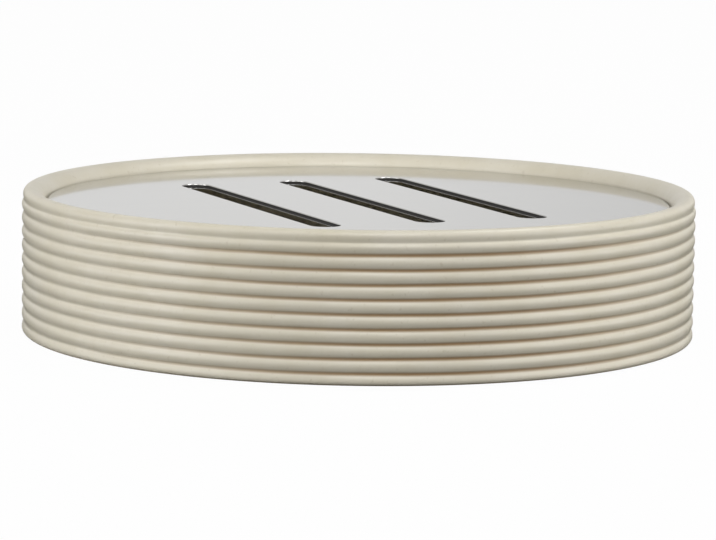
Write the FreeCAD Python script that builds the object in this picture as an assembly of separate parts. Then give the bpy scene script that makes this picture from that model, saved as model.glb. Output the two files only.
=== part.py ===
import FreeCAD, Part
import math
import os

# Round soap dish: a ribbed, glazed ceramic body, a loose slotted steel plate that drains into
# the well below it, and grip pads stuck into the recess of the base.
# Sizes are in millimetres. The origin is the centre of the base on the table, +Z is up, and the
# slots of the plate run along Y.

# Dish body, outside
dish_radius = 56.0        # over the crests of the ribs
dish_height = 23.9        # from the foot ring to the top of the rim
rib_count = 10            # level ribs below the lip of the rim
rib_depth = 0.35          # crest to valley
groove_share = 0.25       # part of a flank that curves as a groove, the rest as a crest
lip_spacing = 1.7         # from the crest of the top rib up to the crest of the lip
lip_setback = 0.2         # the lip's crest lies this far inside the crests of the ribs
lip_groove_depth = 0.12   # the shallow groove below the lip, measured from the lip's crest
lip_round = 1.0           # rounding of the rim's outer edge

# Dish body, inside
rim_wall = 3.85           # wall beside the plate
ledge_width = 2.5         # shelf that carries the plate
ledge_round = 0.8         # rounded edge of that shelf
floor_thickness = 4.0     # ceramic between the well and the base's recess
well_fillet = 4.0         # from the well's wall to its floor

# Dish body, underneath
foot_ring_width = 7.8     # unglazed ring that the ceramic would stand on without its pads
foot_round = 0.7          # rounding of the ring's edges
recess_depth = 1.0        # hollow of the base inside the ring

# Drain plate
plate_thickness = 0.8
plate_drop = 2.1          # the plate's face lies this far below the top of the rim
plate_clearance = 0.4     # gap round the plate
plate_edge_round = 0.15   # deburred upper edges
slot_count = 3
slot_width = 5.0
slot_pitch = 18.2         # centre to centre
slot_end_margin = 16.0    # least steel between the end of a slot and the plate's edge

# Grip pads
pad_count = 4
pad_radius = 4.5
pad_standoff = 0.5        # how far a pad stands out below the foot ring
pad_edge_gap = 3.0        # between a pad and the wall of the recess
pad_edge_round = 0.3
first_pad_angle = 45.0    # degrees from +X

# Heights
base_z = pad_standoff
rim_z = base_z + dish_height
lip_crest_z = rim_z - lip_round
first_crest_z = base_z + foot_round
rib_pitch = (lip_crest_z - lip_spacing - first_crest_z) / (rib_count - 1)
plate_top_z = rim_z - plate_drop
ledge_z = plate_top_z - plate_thickness
recess_z = base_z + recess_depth
floor_z = recess_z + floor_thickness

# Radii
lip_crest_radius = dish_radius - lip_setback
seat_radius = dish_radius - rim_wall
well_radius = seat_radius - ledge_width
recess_radius = dish_radius - foot_round - foot_ring_width
plate_radius = seat_radius - plate_clearance
pad_circle_radius = recess_radius - pad_edge_gap - pad_radius
rim_top_radius = lip_crest_radius - lip_round

# Slots
outer_slot_x = slot_pitch * (slot_count - 1) / 2
slot_end_circle = plate_radius - slot_end_margin - slot_width / 2
slot_end_y = math.sqrt(slot_end_circle ** 2 - outer_slot_x ** 2)

UP = FreeCAD.Vector(0, 0, 1)


def point(radius, z):
    """Point of a turned profile, drawn in the XZ plane."""
    return FreeCAD.Vector(radius, 0, z)


def line(start, end):
    """Straight edge of a profile between two (radius, z) points."""
    return Part.LineSegment(point(*start), point(*end)).toShape()


def arc(start, end, centre):
    """Arc of a profile, shorter than a half circle, from start to end about its centre."""
    size = math.dist(start, centre)
    middle = [(a + b) / 2 - c for a, b, c in zip(start, end, centre)]
    reach = size / math.hypot(*middle)
    through = [c + m * reach for c, m in zip(centre, middle)]
    return Part.Arc(point(*start), point(*through), point(*end)).toShape()


def swell(start, end):
    """Two tangent arcs between neighbouring turning points, upright at both ends.

    The groove's arc is the tighter one.
    """
    step_r = end[0] - start[0]
    step_z = end[1] - start[1]
    bends = (step_r ** 2 + step_z ** 2) / (2 * step_r)
    half_turn = math.asin(step_z / bends) / 2
    first = groove_share if step_r > 0 else 1 - groove_share
    reach_r = bends * (1 - math.cos(half_turn))
    reach_z = bends * math.sin(half_turn)
    middle = (start[0] + first * step_r, start[1] + first * step_z)
    lower = (start[0] + first * reach_r, start[1] + first * reach_z)
    upper = (end[0] - (1 - first) * reach_r, end[1] - (1 - first) * reach_z)
    return [
        Part.Arc(point(*start), point(*lower), point(*middle)).toShape(),
        Part.Arc(point(*middle), point(*upper), point(*end)).toShape(),
    ]


def turning_points():
    """Crests and valleys of the ribbed outside, from the foot up to the lip."""
    points = []
    for rib in range(rib_count):
        crest_z = first_crest_z + rib * rib_pitch
        points.append((dish_radius, crest_z))
        points.append((dish_radius - rib_depth, crest_z + rib_pitch / 2))
    points[-1] = (lip_crest_radius - lip_groove_depth, lip_crest_z - lip_spacing / 2)
    points.append((lip_crest_radius, lip_crest_z))
    return points


def ribbed_outside():
    """Edges of the outside from the foot ring to the lip's crest."""
    turns = turning_points()
    edges = [arc((dish_radius - foot_round, base_z), turns[0], (dish_radius - foot_round, first_crest_z))]
    for start, end in zip(turns, turns[1:]):
        edges += swell(start, end)
    return edges


def rim_and_inside():
    """Edges over the rim, down past the ledge and along the well's floor to the axis."""
    rim_run = rim_top_radius - seat_radius
    rim_fall = min(plate_drop, rim_run)
    lip_crest = (lip_crest_radius, lip_crest_z)
    rim_top = (rim_top_radius, rim_z)
    seat_top = (seat_radius, rim_z - rim_fall)
    ledge_edge = (well_radius + ledge_round, ledge_z)
    well_top = (well_radius, ledge_z - ledge_round)
    well_bottom = (well_radius, floor_z + well_fillet)
    floor_edge = (well_radius - well_fillet, floor_z)
    return [
        arc(lip_crest, rim_top, (rim_top_radius, lip_crest_z)),
        arc(rim_top, seat_top, (rim_top_radius, rim_z - (rim_run ** 2 + rim_fall ** 2) / (2 * rim_fall))),
        line(seat_top, (seat_radius, ledge_z)),
        line((seat_radius, ledge_z), ledge_edge),
        arc(ledge_edge, well_top, (ledge_edge[0], well_top[1])),
        line(well_top, well_bottom),
        arc(well_bottom, floor_edge, (floor_edge[0], well_bottom[1])),
        line(floor_edge, (0, floor_z)),
    ]


def underside():
    """Edges from the axis along the base's recess to the foot ring."""
    recess_corner = (recess_radius, recess_z)
    ring_side = (recess_radius, base_z + foot_round)
    ring_inner = (recess_radius + foot_round, base_z)
    return [
        line((0, floor_z), (0, recess_z)),
        line((0, recess_z), recess_corner),
        line(recess_corner, ring_side),
        arc(ring_side, ring_inner, (ring_inner[0], ring_side[1])),
        line(ring_inner, (dish_radius - foot_round, base_z)),
    ]


def dish_body():
    """Ceramic body, turned from one closed profile."""
    profile = Part.Wire(ribbed_outside() + rim_and_inside() + underside())
    return Part.Face(profile).revolve(FreeCAD.Vector(), UP, 360)


def slot_cutter(x):
    """Round-ended prism for the slot at x, through the plate and past both its faces."""
    bottom_z = ledge_z - plate_thickness
    left = x - slot_width / 2
    right = x + slot_width / 2
    tip_y = slot_end_y + slot_width / 2

    def at(px, py):
        return FreeCAD.Vector(px, py, bottom_z)

    outline = Part.Wire([
        Part.LineSegment(at(right, -slot_end_y), at(right, slot_end_y)).toShape(),
        Part.Arc(at(right, slot_end_y), at(x, tip_y), at(left, slot_end_y)).toShape(),
        Part.LineSegment(at(left, slot_end_y), at(left, -slot_end_y)).toShape(),
        Part.Arc(at(left, -slot_end_y), at(x, -tip_y), at(right, -slot_end_y)).toShape(),
    ])
    return Part.Face(outline).extrude(UP * plate_thickness * 3)


def edges_at(shape, z):
    """Edges of a shape that lie in the level plane at z."""
    return [edge for edge in shape.Edges if all(abs(v.Z - z) < 1e-6 for v in edge.Vertexes)]


def drain_plate():
    """Round sheet-steel plate with its row of slots and deburred upper edges."""
    plate = Part.makeCylinder(plate_radius, plate_thickness, FreeCAD.Vector(0, 0, ledge_z))
    for slot in range(slot_count):
        plate = plate.cut(slot_cutter(slot * slot_pitch - outer_slot_x))
    return plate.makeFillet(plate_edge_round, edges_at(plate, plate_top_z)).Solids[0]


def foot_pad(number):
    """Round grip pad, from the table up to the ceiling of the base's recess."""
    angle = math.radians(first_pad_angle + number * 360 / pad_count)
    centre = FreeCAD.Vector(math.cos(angle), math.sin(angle), 0) * pad_circle_radius
    pad = Part.makeCylinder(pad_radius, recess_z, centre)
    return pad.makeFillet(pad_edge_round, edges_at(pad, 0)).Solids[0]


os.makedirs("parts", exist_ok=True)
nodes = {"dish_body": dish_body(), "drain_plate": drain_plate()}
for pad_number in range(pad_count):
    nodes[f"foot_pad_{pad_number + 1}"] = foot_pad(pad_number)
for name, shape in nodes.items():
    shape.exportStep(f"parts/{name}.step")
    box = shape.optimalBoundingBox()
    print(f"{name}: valid {shape.isValid()}, {shape.Volume:.1f} mm3,",
          f"x {box.XMin:.2f} to {box.XMax:.2f}, z {box.ZMin:.2f} to {box.ZMax:.2f}")
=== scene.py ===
"""Dresses the soap dish: ribbed glazed stoneware, a brushed drain plate and rubber grip pads."""
import logging
import math
from dataclasses import dataclass
from enum import Enum

import bmesh
import bpy
from mathutils import Matrix, Vector, noise


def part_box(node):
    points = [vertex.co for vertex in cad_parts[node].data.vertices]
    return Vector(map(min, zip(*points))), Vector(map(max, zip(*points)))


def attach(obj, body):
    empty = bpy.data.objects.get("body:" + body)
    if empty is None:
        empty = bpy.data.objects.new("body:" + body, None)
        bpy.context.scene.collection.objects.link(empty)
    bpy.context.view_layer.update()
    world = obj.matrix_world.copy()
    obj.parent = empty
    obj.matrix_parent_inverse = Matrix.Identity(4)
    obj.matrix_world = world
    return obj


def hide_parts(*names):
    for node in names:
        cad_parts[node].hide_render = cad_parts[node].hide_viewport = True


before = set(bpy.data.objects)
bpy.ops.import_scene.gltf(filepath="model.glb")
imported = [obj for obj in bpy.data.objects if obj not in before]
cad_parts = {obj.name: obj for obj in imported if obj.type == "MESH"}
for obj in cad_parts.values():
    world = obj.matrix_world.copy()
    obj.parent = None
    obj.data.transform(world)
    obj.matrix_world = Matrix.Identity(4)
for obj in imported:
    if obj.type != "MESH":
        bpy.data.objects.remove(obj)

LOG = logging.getLogger("soap_dish")
MM = 0.001
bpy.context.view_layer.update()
MERGE_GAP = 0.001 * MM
QUARTER_TURN = 90.0
SHARP_ANGLE = math.radians(40.0)
UNIT = (0.0, 1.0)

# A Mix node's colour sockets go by number, because its other kinds of socket share their names.
MIX_SHARE = 0
MIX_FIRST = 6
MIX_SECOND = 7
MIX_RESULT = 2


class Body(Enum):
    """The two bodies of the model, by what moves."""

    DISH = "dish"
    PLATE = "plate"


class Slot(Enum):
    """The record's material slots."""

    CERAMIC = "glazed_ceramic"
    STEEL = "brushed_steel"
    RUBBER = "grip_rubber"


def linear(colour: str) -> tuple[float, float, float, float]:
    """Turns an sRGB hex colour into linear RGBA.

    Args:
        colour: six hex digits after a hash.

    Returns:
        Linear red, green and blue with an alpha of one.
    """
    channels = [int(colour[i:i + 2], 16) / 255 for i in (1, 3, 5)]
    shades = [c / 12.92 if c <= 0.04045 else ((c + 0.055) / 1.055) ** 2.4 for c in channels]
    return (*shades, 1.0)


def per_metre(size_mm: float) -> float:
    """Texture scale at which one feature of a pattern is size_mm across."""
    return 1.0 / (size_mm * MM)


def add_node(tree: bpy.types.NodeTree, kind: str, settings: dict | None = None,
             inputs: dict | None = None) -> bpy.types.Node:
    """Adds a node with its settings, socket values and links.

    Args:
        tree: node tree that gets the node.
        kind: class name of the node.
        settings: properties of the node by name.
        inputs: sockets by name or number, each with a value or with an output to link.

    Returns:
        The new node.
    """
    node = tree.nodes.new(kind)
    for name, value in (settings or {}).items():
        setattr(node, name, value)
    for name, value in (inputs or {}).items():
        if isinstance(value, bpy.types.NodeSocket):
            tree.links.new(value, node.inputs[name])
        else:
            node.inputs[name].default_value = value
    return node


def grain(tree: bpy.types.NodeTree, sizes_mm: tuple[float, float, float], detail: float,
          roughness: float = 0.5) -> bpy.types.NodeSocket:
    """Adds a noise pattern on Object coordinates.

    Args:
        tree: node tree that gets the pattern.
        sizes_mm: size of one feature along X, Y and Z.
        detail: number of finer layers in the noise.
        roughness: strength of those layers.

    Returns:
        The pattern, between zero and one.
    """
    place = add_node(tree, "ShaderNodeTexCoord").outputs["Object"]
    stretch = tuple(per_metre(size) for size in sizes_mm)
    lay = add_node(tree, "ShaderNodeMapping", inputs={"Vector": place, "Scale": stretch})
    pattern = add_node(tree, "ShaderNodeTexNoise", inputs={
        "Vector": lay.outputs["Vector"], "Scale": 1.0, "Detail": detail, "Roughness": roughness})
    return pattern.outputs["Fac"]


def spread(tree: bpy.types.NodeTree, value: bpy.types.NodeSocket, source: tuple,
           target: tuple) -> bpy.types.NodeSocket:
    """Maps one range of values onto another and holds what lies past its ends.

    Args:
        tree: node tree that gets the node.
        value: output that gives the values.
        source: the two ends of the range.
        target: what those ends become, as numbers or outputs.

    Returns:
        The mapped value.
    """
    node = add_node(tree, "ShaderNodeMapRange", inputs={
        "Value": value, "From Min": source[0], "From Max": source[1],
        "To Min": target[0], "To Max": target[1]})
    return node.outputs["Result"]


def blend(tree: bpy.types.NodeTree, share: bpy.types.NodeSocket, first: tuple | bpy.types.NodeSocket,
          second: tuple | bpy.types.NodeSocket) -> bpy.types.NodeSocket:
    """Mixes two colours.

    Args:
        tree: node tree that gets the node.
        share: output that says how much of the second colour shows.
        first: linear colour, or an output that gives one.
        second: linear colour, or an output that gives one.

    Returns:
        The mixed colour.
    """
    node = add_node(tree, "ShaderNodeMix", {"data_type": "RGBA"}, {
        MIX_SHARE: share, MIX_FIRST: first, MIX_SECOND: second})
    return node.outputs[MIX_RESULT]


def relief(tree: bpy.types.NodeTree, height: bpy.types.NodeSocket, depth_mm: float,
           strength: float) -> bpy.types.NodeSocket:
    """Adds a fine unevenness of the surface.

    Args:
        tree: node tree that gets the node.
        height: pattern between zero and one.
        depth_mm: depth of the pattern.
        strength: how far the light follows it.

    Returns:
        The normal for a shader.
    """
    node = add_node(tree, "ShaderNodeBump", inputs={
        "Height": height, "Strength": strength, "Distance": depth_mm * MM})
    return node.outputs["Normal"]


def seen_directly(tree: bpy.types.NodeTree) -> bpy.types.NodeSocket:
    """Tells what the eye sees straight or through something clear from what only lights or mirrors.

    Args:
        tree: node tree that gets the nodes.

    Returns:
        One for what the eye sees and zero for the rest.
    """
    rays = add_node(tree, "ShaderNodeLightPath").outputs
    node = add_node(tree, "ShaderNodeMath", {"operation": "MAXIMUM"}, {
        0: rays["Is Camera Ray"], 1: rays["Is Transmission Ray"]})
    return node.outputs[0]


def new_material(name: str) -> tuple[bpy.types.Material, bpy.types.NodeTree]:
    """Makes an empty node material.

    Args:
        name: name of the finish.

    Returns:
        The material and its cleared node tree.
    """
    material = bpy.data.materials.new(name)
    material.use_nodes = True
    material.node_tree.nodes.clear()
    return material, material.node_tree


def surface(tree: bpy.types.NodeTree, shader: bpy.types.NodeSocket) -> None:
    """Links a shader to the material's output."""
    add_node(tree, "ShaderNodeOutputMaterial", inputs={"Surface": shader})


class Pen:
    """Draws a half section of straight runs and arcs in the XZ plane, one vertex growing from the last."""

    def __init__(self, mesh: bmesh.types.BMesh, start: Vector) -> None:
        """Puts the pen down.

        Args:
            mesh: mesh that receives the outline.
            start: first point.
        """
        self.mesh = mesh
        self.tip = mesh.verts.new(start)

    def line(self, end: Vector) -> None:
        """Draws a straight run.

        Args:
            end: point that the run ends at.
        """
        grown = bmesh.ops.extrude_vert_indiv(self.mesh, verts=[self.tip])
        self.tip = grown["verts"][0]
        self.tip.co = end

    def arc(self, centre: Vector, degrees: float, steps: int) -> None:
        """Turns the tip about a centre.

        Args:
            centre: centre of the arc.
            degrees: turn by the right-hand rule about Y.
            steps: straight pieces that the arc is made of.
        """
        turned = bmesh.ops.spin(self.mesh, geom=[self.tip], cent=centre, axis=(0.0, 1.0, 0.0),
                                angle=math.radians(degrees), steps=steps)
        self.tip = next(g for g in turned["geom_last"] if isinstance(g, bmesh.types.BMVert))


def close_mesh(mesh: bmesh.types.BMesh) -> None:
    """Merges doubled points and turns all faces outwards."""
    bmesh.ops.remove_doubles(mesh, verts=mesh.verts, dist=MERGE_GAP)
    bmesh.ops.recalc_face_normals(mesh, faces=mesh.faces)


def add_object(mesh: bmesh.types.BMesh, name: str, materials: list[bpy.types.Material]) -> bpy.types.Object:
    """Puts a built mesh into the scene.

    Args:
        mesh: finished mesh, in metres. It is freed.
        name: name of the object.
        materials: materials in the order of the faces' indices.

    Returns:
        The new object.
    """
    data = bpy.data.meshes.new(name)
    mesh.to_mesh(data)
    mesh.free()
    for material in materials:
        data.materials.append(material)
    made = bpy.data.objects.new(name, data)
    bpy.context.scene.collection.objects.link(made)
    return made


def add_piece(mesh: bmesh.types.BMesh, name: str, body: Body, node: str,
              materials: list[bpy.types.Material]) -> bpy.types.Object:
    """Turns a built mesh into a piece that rides on its body in place of a CAD node.

    Args:
        mesh: finished mesh, in metres, in the shared frame. It is freed.
        name: name of the piece.
        body: body that carries the piece.
        node: CAD node that the piece stands for.
        materials: materials in the order of the faces' indices.

    Returns:
        The new object.
    """
    piece = add_object(mesh, name, materials)
    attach(piece, body.value)
    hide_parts(node)
    return piece


@dataclass(frozen=True)
class GlazedStoneware:
    """Cream stoneware, cast and dipped in a satin glaze.

    The glaze is thin and a little grey on the crests. The grooves carry a browner tint that is
    painted shade under each rib, partly glaze pooling. Close up it is faintly clouded and specked,
    with a soft skin that draws the highlights out along the ribs.
    A range says where in its pattern a tint starts and where it is full, and a share how strong
    it is there. The roughness goes from the skin's low spots to its high ones.
    """

    crest: str = "#D7D1C1"
    cloud: str = "#D0C9B5"
    cloud_mm: float = 9.0
    cloud_range: tuple[float, float] = (0.3, 0.7)
    # painted shade: the brown groove tint, partly glaze pooling, darkest under the ribs
    pool_and_shade_tint: str = "#8A6734"
    pool_and_shade_range: tuple[float, float] = (0.5, 1.0)
    pool_and_shade_share: float = 0.85
    pool_and_shade_attribute: str = "glaze_pool_and_groove_shade"
    speck: str = "#AFA288"
    speck_mm: float = 0.7
    speck_range: tuple[float, float] = (0.66, 0.8)
    speck_share: float = 0.25
    skin_mm: float = 1.6
    skin_depth_mm: float = 0.06
    roughness: tuple[float, float] = (0.3, 0.42)

    def material(self) -> bpy.types.Material:
        """Builds the glaze on Object coordinates and the groove attribute.

        Returns:
            The glaze's material.
        """
        material, tree = new_material("glazed_stoneware_cream")
        clouds = grain(tree, (self.cloud_mm,) * 3, detail=5.0, roughness=0.6)
        specks = grain(tree, (self.speck_mm,) * 3, detail=1.0)
        skin = grain(tree, (self.skin_mm,) * 3, detail=3.0, roughness=0.55)
        pooled_and_shaded = add_node(tree, "ShaderNodeAttribute", {"attribute_name": self.pool_and_shade_attribute})
        cloudy = spread(tree, clouds, self.cloud_range, UNIT)
        base = blend(tree, cloudy, linear(self.crest), linear(self.cloud))
        # painted shade in the grooves, partly glaze pooling
        groove_shade = spread(tree, pooled_and_shaded.outputs["Fac"], self.pool_and_shade_range, (0.0, self.pool_and_shade_share))
        with_groove_shade = blend(tree, groove_shade, base, linear(self.pool_and_shade_tint))
        rare = spread(tree, specks, self.speck_range, (0.0, self.speck_share))
        shader = add_node(tree, "ShaderNodeBsdfPrincipled", inputs={
            "Base Color": blend(tree, rare, with_groove_shade, linear(self.speck)),
            "Roughness": spread(tree, skin, UNIT, self.roughness),
            "Normal": relief(tree, skin, self.skin_depth_mm, strength=0.2),
            "IOR": 1.5})
        surface(tree, shader.outputs["BSDF"])
        return material


@dataclass(frozen=True)
class BareStoneware:
    """Unglazed fired clay of the foot ring: dry, chalky and a little sandy."""

    clay: str = "#CFC3AC"
    sand: str = "#B7A88E"
    grit_mm: float = 0.5
    grit_depth_mm: float = 0.08

    def material(self) -> bpy.types.Material:
        """Builds the dry clay with a sandy grain.

        Returns:
            The clay's material.
        """
        material, tree = new_material("bare_stoneware_foot")
        grit = grain(tree, (self.grit_mm,) * 3, detail=3.0, roughness=0.7)
        shader = add_node(tree, "ShaderNodeBsdfPrincipled", inputs={
            "Base Color": blend(tree, grit, linear(self.clay), linear(self.sand)),
            "Roughness": 0.88,
            "Normal": relief(tree, grit, self.grit_depth_mm, strength=0.4)})
        surface(tree, shader.outputs["BSDF"])
        return material


@dataclass(frozen=True)
class BrushedStainless:
    """Stainless sheet with a fine straight brushing.

    It mirrors the rim softly at a low angle, and its hairlines run across the slots. The roughness
    goes from the lowest hairlines to the highest.
    """

    steel: str = "#C3C2BF"
    shade: str = "#B7B6B3"
    hairline_mm: float = 0.4
    hairline_run_mm: float = 45.0
    hairline_depth_mm: float = 0.01
    roughness: tuple[float, float] = (0.05, 0.1)

    def material(self) -> bpy.types.Material:
        """Builds the steel with hairlines stretched along X.

        Returns:
            The steel's material.
        """
        material, tree = new_material("brushed_stainless")
        hairs = grain(tree, (self.hairline_run_mm, self.hairline_mm, self.hairline_mm),
                      detail=4.0, roughness=0.65)
        shader = add_node(tree, "ShaderNodeBsdfPrincipled", inputs={
            "Base Color": blend(tree, hairs, linear(self.steel), linear(self.shade)),
            "Metallic": 1.0,
            "Roughness": spread(tree, hairs, UNIT, self.roughness),
            "Normal": relief(tree, hairs, self.hairline_depth_mm, strength=0.03)})
        surface(tree, shader.outputs["BSDF"])
        return material


@dataclass(frozen=True)
class ShadedCutEdge:
    """Walls of the plate's slots, rough and with upright streaks, near-black in colour: painted shade that
    stands in for the slot's shadow and its dim reflection of the well, partly the cut's own colour.
    """

    # painted shade: the near-black of the slot walls, partly the cut's own colour
    scale: str = "#1A1410"
    soot_and_shade: str = "#0C0A08"
    streak_mm: float = 0.3
    streak_length_mm: float = 4.0

    def material(self) -> bpy.types.Material:
        """Builds the painted-shade wall with streaks stretched along Z.

        Returns:
            The wall's material.
        """
        material, tree = new_material("cut_steel_edge_painted_shade")
        streaks = grain(tree, (self.streak_mm, self.streak_mm, self.streak_length_mm), detail=2.0)
        shader = add_node(tree, "ShaderNodeBsdfPrincipled", inputs={
            "Base Color": blend(tree, streaks, linear(self.scale), linear(self.soot_and_shade)),
            "Roughness": 0.6,
            "Specular IOR Level": 0.3})
        surface(tree, shader.outputs["BSDF"])
        return material


@dataclass(frozen=True)
class GripRubber:
    """Milky moulded rubber of the pads, matt with a fine grain."""

    milk: str = "#DCDAD2"
    grey: str = "#C9C7BE"
    grain_mm: float = 0.4
    grain_depth_mm: float = 0.03

    def material(self) -> bpy.types.Material:
        """Builds the pads' rubber.

        Returns:
            The rubber's material.
        """
        material, tree = new_material("moulded_grip_rubber")
        fine = grain(tree, (self.grain_mm,) * 3, detail=3.0)
        shader = add_node(tree, "ShaderNodeBsdfPrincipled", inputs={
            "Base Color": blend(tree, fine, linear(self.milk), linear(self.grey)),
            "Roughness": 0.7,
            "Normal": relief(tree, fine, self.grain_depth_mm, strength=0.3)})
        surface(tree, shader.outputs["BSDF"])
        return material


@dataclass
class DishBody:
    """Ribbed ceramic body, spun from one half section. Sizes are in millimetres, angles in degrees."""

    radius: float
    base_z: float
    rim_z: float
    plate_bottom_z: float
    plate_top_z: float
    glaze: GlazedStoneware
    clay: BareStoneware
    rib_count: int = 10
    rib_depth: float = 0.35
    groove_share: float = 0.25      # part of a flank that curves as a groove, the rest as a crest
    lip_spacing: float = 1.7        # from the top rib's crest up to the lip's
    lip_setback: float = 0.2
    lip_groove_depth: float = 0.12
    lip_round: float = 1.0
    rim_wall: float = 3.85
    ledge_width: float = 2.5
    ledge_round: float = 0.8
    floor_thickness: float = 4.0
    well_fillet: float = 4.0
    foot_ring_width: float = 7.8
    foot_round: float = 0.7
    foot_bare_share: float = 0.5    # part of the foot's rounding that the glaze leaves bare
    recess_depth: float = 1.0
    wander: float = 0.07            # how far a groove strays up or down
    wander_length: float = 14.0     # along the rib
    wander_change: float = 0.8      # from one rib to the next, in cells of the noise
    depth_change: float = 0.15      # share by which a groove gets deeper or shallower
    depth_seed: tuple[float, float, float] = (7.0, 3.0, 1.0)
    shade_lean: float = -0.05        # below zero the painted groove shade lies on the flanks that face down
    shade_fade: float = 0.55         # how much fainter the painted groove shade is between the two sides where the light leaves the grooves darkest
    shade_side: float = -10.0        # one of those two sides, counted from -Y towards +X
    rib_steps: int = 4
    corner_steps: int = 8
    roll_steps: int = 16
    spin_steps: int = 288

    @property
    def lip_radius(self) -> float:
        """Radius of the lip's crest."""
        return self.radius - self.lip_setback

    @property
    def lip_z(self) -> float:
        """Height of the lip's crest."""
        return self.rim_z - self.lip_round

    @property
    def first_crest_z(self) -> float:
        """Height of the lowest rib's crest."""
        return self.base_z + self.foot_round

    @property
    def rib_pitch(self) -> float:
        """Height from one crest to the next."""
        return (self.lip_z - self.lip_spacing - self.first_crest_z) / (self.rib_count - 1)

    @staticmethod
    def at(radius: float, z: float) -> Vector:
        """Point of the half section, in metres."""
        return Vector((radius * MM, 0.0, z * MM))

    def turning_points(self) -> list[tuple[float, float]]:
        """Lists the crests and valleys of the outside, from the foot up to the lip.

        Returns:
            Pairs of radius and height.
        """
        points = []
        for rib in range(self.rib_count):
            crest_z = self.first_crest_z + rib * self.rib_pitch
            points.append((self.radius, crest_z))
            points.append((self.radius - self.rib_depth, crest_z + self.rib_pitch / 2))
        points[-1] = (self.lip_radius - self.lip_groove_depth, self.lip_z - self.lip_spacing / 2)
        points.append((self.lip_radius, self.lip_z))
        return points

    def draw_swell(self, pen: Pen, start: tuple[float, float], end: tuple[float, float]) -> None:
        """Draws two tangent arcs between neighbouring turning points, the groove's arc tighter.

        Args:
            pen: pen that stands at the start.
            start: radius and height of the lower turning point.
            end: radius and height of the upper one.
        """
        step_r = end[0] - start[0]
        step_z = end[1] - start[1]
        bends = (step_r ** 2 + step_z ** 2) / (2 * step_r)
        turn = math.degrees(math.asin(step_z / bends))
        first = self.groove_share if step_r > 0 else 1 - self.groove_share
        pen.arc(self.at(start[0] + first * bends, start[1]), turn, self.rib_steps)
        pen.arc(self.at(end[0] - (1 - first) * bends, end[1]), -turn, self.rib_steps)

    def draw_outside(self, pen: Pen) -> None:
        """Draws the underside, the foot and the ribs, up to the lip's crest.

        Args:
            pen: pen that stands on the axis, at the ceiling of the base's recess.
        """
        recess = self.radius - self.foot_round - self.foot_ring_width
        edge = self.radius - self.foot_round
        pen.line(self.at(recess, self.base_z + self.recess_depth))
        pen.line(self.at(recess, self.first_crest_z))
        pen.arc(self.at(recess + self.foot_round, self.first_crest_z), -QUARTER_TURN, self.corner_steps)
        pen.line(self.at(edge, self.base_z))
        pen.arc(self.at(edge, self.first_crest_z), -QUARTER_TURN, self.corner_steps)
        turns = self.turning_points()
        for start, end in zip(turns, turns[1:]):
            self.draw_swell(pen, start, end)

    def draw_inside(self, pen: Pen) -> None:
        """Draws the rim, the ledge and the well, back to the axis on the well's floor.

        Args:
            pen: pen that stands on the lip's crest.
        """
        seat = self.radius - self.rim_wall
        well = seat - self.ledge_width
        ledge_z = self.plate_bottom_z
        ledge_edge = well + self.ledge_round
        floor_z = self.base_z + self.recess_depth + self.floor_thickness
        fillet_z = floor_z + self.well_fillet
        rim_top = self.lip_radius - self.lip_round
        run = rim_top - seat
        fall = min(self.rim_z - self.plate_top_z, run)
        roll = (run ** 2 + fall ** 2) / (2 * fall)
        roll_turn = math.degrees(math.acos(1 - fall / roll))
        pen.arc(self.at(rim_top, self.lip_z), -QUARTER_TURN, self.corner_steps)
        pen.arc(self.at(rim_top, self.rim_z - roll), -roll_turn, self.roll_steps)
        pen.line(self.at(seat, ledge_z))
        pen.line(self.at(ledge_edge, ledge_z))
        pen.arc(self.at(ledge_edge, ledge_z - self.ledge_round), -QUARTER_TURN, self.corner_steps)
        pen.line(self.at(well, fillet_z))
        pen.arc(self.at(well - self.well_fillet, fillet_z), QUARTER_TURN, self.corner_steps)
        pen.line(self.at(0.0, floor_z))

    def ribbed_verts(self, mesh: bmesh.types.BMesh) -> list[bmesh.types.BMVert]:
        """Finds the points of the ribbed outside, between the foot's edge and the lip.

        Args:
            mesh: the spun body.

        Returns:
            The points, without those at either end.
        """
        inner = (self.radius - 2 * self.rib_depth) * MM
        low, high = self.first_crest_z * MM, self.lip_z * MM
        return [v for v in mesh.verts if v.co.xy.length > inner and low < v.co.z < high]

    def mark_pools_and_shade(self, mesh: bmesh.types.BMesh) -> None:
        """Writes the painted groove shade, partly glaze pooling: strongest at the bottom of the grooves, on
        the flanks that face down, and on the two sides where the light leaves the grooves darkest.

        Args:
            mesh: the spun body, with its normals.
        """
        layer = mesh.verts.layers.float.new(self.glaze.pool_and_shade_attribute)
        top_crest_z = self.lip_z - self.lip_spacing
        for vert in self.ribbed_verts(mesh):
            crest = self.radius if vert.co.z < top_crest_z * MM else self.lip_radius
            depth = (crest * MM - vert.co.xy.length) / (self.rib_depth * MM)
            # painted shade, strongest on the two sides where the light leaves the grooves darkest
            turn = math.atan2(vert.co.x, -vert.co.y) - math.radians(self.shade_side)
            shade_strength = 1 - self.shade_fade * math.sin(turn) ** 2
            vert[layer] = shade_strength * (depth + self.shade_lean * vert.normal.z)

    def unsettle_ribs(self, mesh: bmesh.types.BMesh) -> None:
        """Lets the grooves wander in height and depth as hand-finished ones do, never past a crest.

        Args:
            mesh: the spun body.
        """
        low, high = self.first_crest_z * MM, self.lip_z * MM
        crest = self.radius * MM
        along = 1 / self.wander_length
        stretch = Vector((along, along, self.wander_change / self.rib_pitch)) / MM
        for vert in self.ribbed_verts(mesh):
            spot = vert.co * stretch
            fade = min(1.0, min(vert.co.z - low, high - vert.co.z) / (self.rib_pitch * MM))
            reach = vert.co.xy.length
            deeper = 1 + fade * self.depth_change * noise.noise(spot + Vector(self.depth_seed))
            vert.co.xy *= (crest - (crest - reach) * deeper) / reach
            vert.co.z += fade * self.wander * MM * noise.noise(spot)

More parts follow.
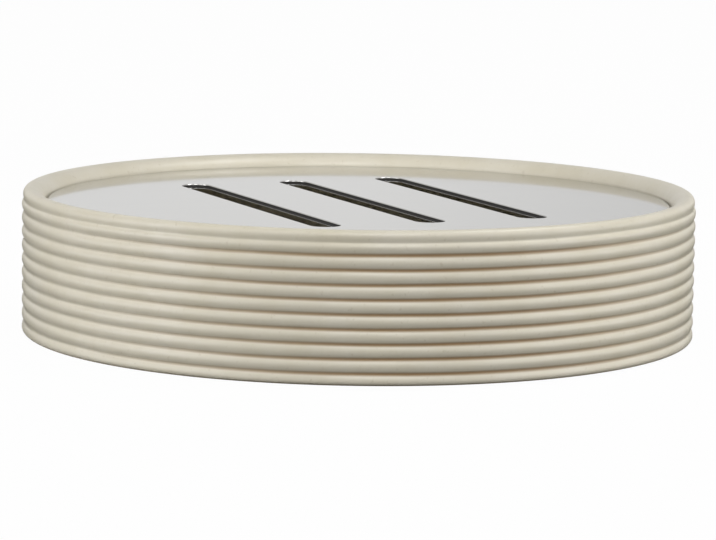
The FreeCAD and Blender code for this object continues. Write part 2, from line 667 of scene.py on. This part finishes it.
    def build(self) -> bpy.types.Object:
        """Spins the section, marks its painted groove shade and its bare foot, and makes the piece.

        Returns:
            The dish body's object.
        """
        mesh = bmesh.new()
        pen = Pen(mesh, self.at(0.0, self.base_z + self.recess_depth))
        self.draw_outside(pen)
        self.draw_inside(pen)
        bmesh.ops.spin(mesh, geom=mesh.verts[:] + mesh.edges[:], cent=(0.0, 0.0, 0.0),
                       axis=(0.0, 0.0, 1.0), angle=math.tau, steps=self.spin_steps, use_merge=True)
        close_mesh(mesh)
        mesh.normal_update()
        self.mark_pools_and_shade(mesh)
        self.unsettle_ribs(mesh)
        bare_top = (self.base_z + self.foot_bare_share * self.foot_round) * MM
        for face in mesh.faces:
            face.smooth = True
            face.material_index = int(face.calc_center_median().z < bare_top)
        piece = add_piece(mesh, "dish_body_glazed", Body.DISH, "dish_body",
                          [self.glaze.material(), self.clay.material()])
        piece.data.set_sharp_from_angle(angle=SHARP_ANGLE)
        return piece


@dataclass
class DrainPlate:
    """Loose round plate of sheet steel with parallel round-ended slots. Sizes are in millimetres."""

    radius: float
    bottom_z: float
    top_z: float
    steel: BrushedStainless
    cut: ShadedCutEdge
    slot_count: int = 3
    slot_width: float = 5.0
    slot_pitch: float = 18.2
    slot_end_margin: float = 16.0   # least steel between the end of a slot and the plate's edge
    edge_round: float = 0.15
    burr: float = 0.045             # how far the bead along a slot's lower edge stands into the slot
    rim_steps: int = 256
    slot_steps: int = 54
    round_steps: int = 4

    @property
    def outer_slot_x(self) -> float:
        """Distance of the outer slots from the middle."""
        return self.slot_pitch * (self.slot_count - 1) / 2

    @property
    def slot_end_y(self) -> float:
        """Centre of the slots' round ends, either side of the middle."""
        reach = self.radius - self.slot_end_margin - self.slot_width / 2
        return math.sqrt(reach ** 2 - self.outer_slot_x ** 2)

    def edge_profile(self, burr: float) -> list[tuple[float, float]]:
        """Lists how far an edge is set back at each height, from the upper face to the lower one.

        Args:
            burr: how far a bead along the lower edge stands out, or zero for none.

        Returns:
            Pairs of setback and height.
        """
        quarter = [math.pi / 2 * step / self.round_steps for step in range(self.round_steps + 1)]
        profile = [(self.edge_round * (1 - math.sin(a)), self.top_z - self.edge_round * (1 - math.cos(a)))
                   for a in quarter]
        if burr:
            bead = [math.pi * step / (2 * self.round_steps) for step in range(2 * self.round_steps)]
            profile += [(-burr * math.sin(a), self.bottom_z + burr * (1 + math.cos(a))) for a in bead]
        return profile + [(0.0, self.bottom_z)]

    def outline(self, mesh: bmesh.types.BMesh, steps: int, radius: float, centre: Vector,
                stretch_y: float) -> list[bmesh.types.BMEdge]:
        """Draws a circle, or a round-ended slot where it is pulled apart along Y.

        Args:
            mesh: mesh that receives the outline.
            steps: sides of the circle.
            radius: radius of the circle or of the slot's ends.
            centre: middle of the outline.
            stretch_y: how far each half is pulled from the middle.

        Returns:
            The outline's edges.
        """
        ring = bmesh.ops.create_circle(mesh, segments=steps, radius=radius * MM,
                                       matrix=Matrix.Translation(centre * MM))["verts"]
        for side in (-1.0, 1.0):
            half = [v for v in ring if v.co.y * side > 0]
            bmesh.ops.translate(mesh, verts=half, vec=(0.0, side * stretch_y * MM, 0.0))
        return list({edge for vert in ring for edge in vert.link_edges})

    def loft(self, mesh: bmesh.types.BMesh, rings: list[list[bmesh.types.BMEdge]],
             dark: bool) -> tuple[list[bmesh.types.BMEdge], list[bmesh.types.BMEdge]]:
        """Joins outlines one below the other into a wall.

        Args:
            mesh: mesh that holds the outlines.
            rings: edges of each outline, from the top down.
            dark: whether the wall between its rounded upper edge and its burr gets the near-black painted
                shade, partly the cut's own colour.

        Returns:
            The edges of the top outline and of the bottom one.
        """
        for number, (upper, lower) in enumerate(zip(rings, rings[1:])):
            made = bmesh.ops.bridge_loops(mesh, edges=upper + lower)
            for face in made["faces"]:
                face.smooth = True
                # the wall under the rounded upper edge gets the painted shade material
                face.material_index = int(dark and number == self.round_steps)
        return rings[0], rings[-1]

    def build(self) -> bpy.types.Object:
        """Lofts the rim and the slots' walls, fills both faces between them and makes the piece.

        Returns:
            The plate's object.
        """
        mesh = bmesh.new()
        rim = [self.outline(mesh, self.rim_steps, self.radius - back, Vector((0.0, 0.0, z)), 0.0)
               for back, z in self.edge_profile(0.0)]
        walls = [self.loft(mesh, rim, dark=False)]
        end_radius = self.slot_width / 2
        for slot in range(self.slot_count):
            x = slot * self.slot_pitch - self.outer_slot_x
            rings = [
                self.outline(mesh, self.slot_steps, end_radius + back, Vector((x, 0.0, z)), self.slot_end_y)
                for back, z in self.edge_profile(self.burr)]
            walls.append(self.loft(mesh, rings, dark=True))
        for face_edges in zip(*walls):
            bmesh.ops.triangle_fill(mesh, use_beauty=True, use_dissolve=False,
                                    edges=[edge for edges in face_edges for edge in edges])
        close_mesh(mesh)
        return add_piece(mesh, "drain_plate_sheet", Body.PLATE, "drain_plate",
                         [self.steel.material(), self.cut.material()])


@dataclass
class GripPads:
    """Round rubber pads stuck into the recess of the base. Sizes are in millimetres."""

    rubber: GripRubber
    count: int = 4
    edge_round: float = 0.3
    rim_steps: int = 64
    round_steps: int = 4
    level: float = 0.999            # a face whose normal is more upright than this stays flat

    def build_pad(self, number: int, material: bpy.types.Material) -> bpy.types.Object:
        """Makes the pad that stands for one CAD pad.

        Args:
            number: number of the pad, from one.
            material: the pads' rubber.

        Returns:
            The pad's object.
        """
        node = f"foot_pad_{number}"
        low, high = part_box(node)
        middle = (low + high) / 2
        radius = (high.x - low.x) / 2
        mesh = bmesh.new()
        bmesh.ops.create_cone(mesh, cap_ends=True, segments=self.rim_steps, radius1=radius, radius2=radius,
                              depth=high.z - low.z, matrix=Matrix.Translation(middle))
        lower = [e for e in mesh.edges if all(v.co.z < middle.z for v in e.verts)]
        bmesh.ops.bevel(mesh, geom=lower, offset=self.edge_round * MM, offset_type="OFFSET",
                        affect="EDGES", segments=self.round_steps, profile=0.5, material=-1)
        close_mesh(mesh)
        for face in mesh.faces:
            face.smooth = abs(face.normal.z) < self.level
        return add_piece(mesh, f"grip_pad_{number}", Body.DISH, node, [material])

    def build(self) -> list[bpy.types.Object]:
        """Makes all the pads.

        Returns:
            The pads' objects.
        """
        material = self.rubber.material()
        return [self.build_pad(number, material) for number in range(1, self.count + 1)]


@dataclass(frozen=True)
class Softbox:
    """One lamp of the studio, which faces the dish.

    The azimuth is in degrees to the camera's right, the elevation in degrees above the table, and
    the sides and the distance in metres. The tilt turns the lamp's face up from the dish.
    """

    name: str
    azimuth: float
    elevation: float
    watts: float
    width: float = 0.4
    height: float = 0.4
    distance: float = 1.0
    tilt: float = 0.0


def low_card(name: str, azimuth: float, watts: float) -> Softbox:
    """White card that leans back beside the dish, low on the table."""
    return Softbox(name, azimuth, 0.7, watts, width=0.12, height=0.12, distance=0.17, tilt=30.0)


@dataclass
class Studio:
    """White table, soft lamps and the photograph's camera.

    Lengths are in metres where the name doesn't say millimetres, and angles in degrees. The
    surround is what the steel mirrors, and turns greyer to the right over the surround_turn.
    """

    image_width: int = 716
    focal_pixels: float = 3574.0
    sensor_mm: float = 36.0
    distance_mm: float = 598.0
    target_z_mm: float = 10.6
    azimuth: float = -24.0
    elevation: float = 7.965
    roll: float = 0.842
    nearest: float = 0.01
    farthest: float = 20.0
    ambient: float = 0.04
    surround: float = 0.86
    surround_right: float = 0.755
    surround_turn: tuple[float, float] = (0.0, 0.08)
    table: str = "#5E5E5E"
    table_glow: float = 1.09
    table_glow_share: float = 0.9
    table_radius: float = 6.0
    table_sides: int = 96
    table_gap_mm: float = 0.02
    lamps: tuple[Softbox, ...] = (
        Softbox("left_low_box", -66.0, 22.0, 2.0),
        Softbox("left_high_box", -45.0, 42.0, 0.8),
        Softbox("left_front_box", -30.0, 25.0, 0.75),
        Softbox("front_box", 8.0, 40.0, 3.1),
        Softbox("right_front_box", 30.0, 25.0, 0.3),
        Softbox("right_low_box", 64.0, 25.0, 1.3),
        Softbox("right_high_box", 90.0, 60.0, 3.6),
        low_card("left_card", -80.0, 0.088),
        low_card("left_front_card", -50.0, 0.098),
        low_card("right_front_card", 50.0, 0.069),
        low_card("right_card", 80.0, 0.096),
        Softbox("back_card", 180.0, 2.0, 0.16, width=0.1, height=0.025, distance=0.17),
    )

    def direction(self, azimuth: float, elevation: float) -> Vector:
        """Unit vector from the object, with the azimuth counted from the camera's own.

        Args:
            azimuth: degrees to the camera's right.
            elevation: degrees above the table.

        Returns:
            The direction in the shared frame.
        """
        turn = math.radians(self.azimuth + azimuth)
        lift = math.radians(elevation)
        return Vector((math.sin(turn) * math.cos(lift), -math.cos(turn) * math.cos(lift), math.sin(lift)))

    def add_camera(self) -> None:
        """Adds the camera where the photograph was taken from."""
        data = bpy.data.cameras.new("photo_camera")
        data.sensor_fit = "HORIZONTAL"
        data.sensor_width = self.sensor_mm
        data.lens = self.focal_pixels * self.sensor_mm / self.image_width
        data.clip_start = self.nearest
        data.clip_end = self.farthest
        camera = bpy.data.objects.new("photo_camera", data)
        back = self.direction(0.0, self.elevation)
        turn = (-back).to_track_quat("-Z", "Y").to_matrix().to_4x4()
        target = Vector((0.0, 0.0, self.target_z_mm * MM))
        place = Matrix.Translation(target + back * self.distance_mm * MM)
        camera.matrix_world = place @ turn @ Matrix.Rotation(math.radians(self.roll), 4, "Z")
        bpy.context.scene.collection.objects.link(camera)
        bpy.context.scene.camera = camera

    def add_lamp(self, box: Softbox) -> None:
        """Adds one lamp, which lights the dish but isn't seen itself.

        Args:
            box: the lamp's size, power and place.
        """
        data = bpy.data.lights.new(box.name, "AREA")
        data.shape = "RECTANGLE"
        data.size = box.width
        data.size_y = box.height
        data.energy = box.watts
        lamp = bpy.data.objects.new(box.name, data)
        lamp.location = self.direction(box.azimuth, box.elevation) * box.distance
        facing = self.direction(box.azimuth, box.elevation - box.tilt)
        lamp.rotation_euler = facing.to_track_quat("Z", "Y").to_euler()
        lamp.visible_camera = False
        bpy.context.scene.collection.objects.link(lamp)

    def add_world(self) -> None:
        """Adds a surround that is white to the eye, grey in the steel, and lights little."""
        world = bpy.data.worlds.new("white_surround")
        world.use_nodes = True
        tree = world.node_tree
        tree.nodes.clear()
        rays = add_node(tree, "ShaderNodeLightPath").outputs
        way = add_node(tree, "ShaderNodeTexCoord").outputs["Generated"]
        rightward = add_node(tree, "ShaderNodeVectorMath", {"operation": "DOT_PRODUCT"}, {
            0: way, 1: self.direction(90.0, 0.0)})
        wall = spread(tree, rightward.outputs["Value"], self.surround_turn,
                      (self.surround, self.surround_right))
        mirrored = spread(tree, rays["Is Glossy Ray"], UNIT, (self.ambient, wall))
        strength = add_node(tree, "ShaderNodeMath", {"operation": "MAXIMUM"}, {
            0: mirrored, 1: seen_directly(tree)})
        sky = add_node(tree, "ShaderNodeBackground", inputs={
            "Color": (1.0, 1.0, 1.0, 1.0), "Strength": strength.outputs[0]})
        add_node(tree, "ShaderNodeOutputWorld", inputs={"Surface": sky.outputs["Background"]})
        bpy.context.scene.world = world

    def add_table(self) -> None:
        """Adds the table, which looks white and keeps a pale shadow."""
        material, tree = new_material("white_table")
        share = add_node(tree, "ShaderNodeMath", {"operation": "MULTIPLY"}, {
            0: seen_directly(tree), 1: self.table_glow_share})
        paper = add_node(tree, "ShaderNodeBsdfDiffuse", inputs={"Color": linear(self.table)})
        glow = add_node(tree, "ShaderNodeEmission", inputs={"Strength": self.table_glow})
        mixed = add_node(tree, "ShaderNodeMixShader", inputs={
            0: share.outputs[0], 1: paper.outputs["BSDF"], 2: glow.outputs["Emission"]})
        surface(tree, mixed.outputs["Shader"])
        mesh = bmesh.new()
        bmesh.ops.create_circle(mesh, cap_ends=True, segments=self.table_sides, radius=self.table_radius)
        table = add_object(mesh, "table", [material])
        table.location.z = -self.table_gap_mm * MM

    def build(self) -> None:
        """Sets the camera, the table, the surround and the lamps."""
        bpy.context.scene.view_settings.view_transform = "Standard"
        self.add_camera()
        self.add_table()
        self.add_world()
        for box in self.lamps:
            self.add_lamp(box)


def main() -> None:
    """Builds the dish, its plate and its pads, and sets the studio round them."""
    logging.basicConfig(level=logging.INFO, format="%(name)s: %(message)s")
    body_low, body_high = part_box("dish_body")
    plate_low, plate_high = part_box("drain_plate")
    dish = DishBody(radius=body_high.x / MM, base_z=body_low.z / MM, rim_z=body_high.z / MM,
                    plate_bottom_z=plate_low.z / MM, plate_top_z=plate_high.z / MM,
                    glaze=GlazedStoneware(), clay=BareStoneware())
    plate = DrainPlate(radius=plate_high.x / MM, bottom_z=plate_low.z / MM, top_z=plate_high.z / MM,
                       steel=BrushedStainless(), cut=ShadedCutEdge())
    pads = GripPads(GripRubber())
    for piece in (dish.build(), plate.build(), *pads.build()):
        LOG.info("%s: %d faces", piece.name, len(piece.data.polygons))
    Studio().build()


if __name__ == "__main__":
    main()
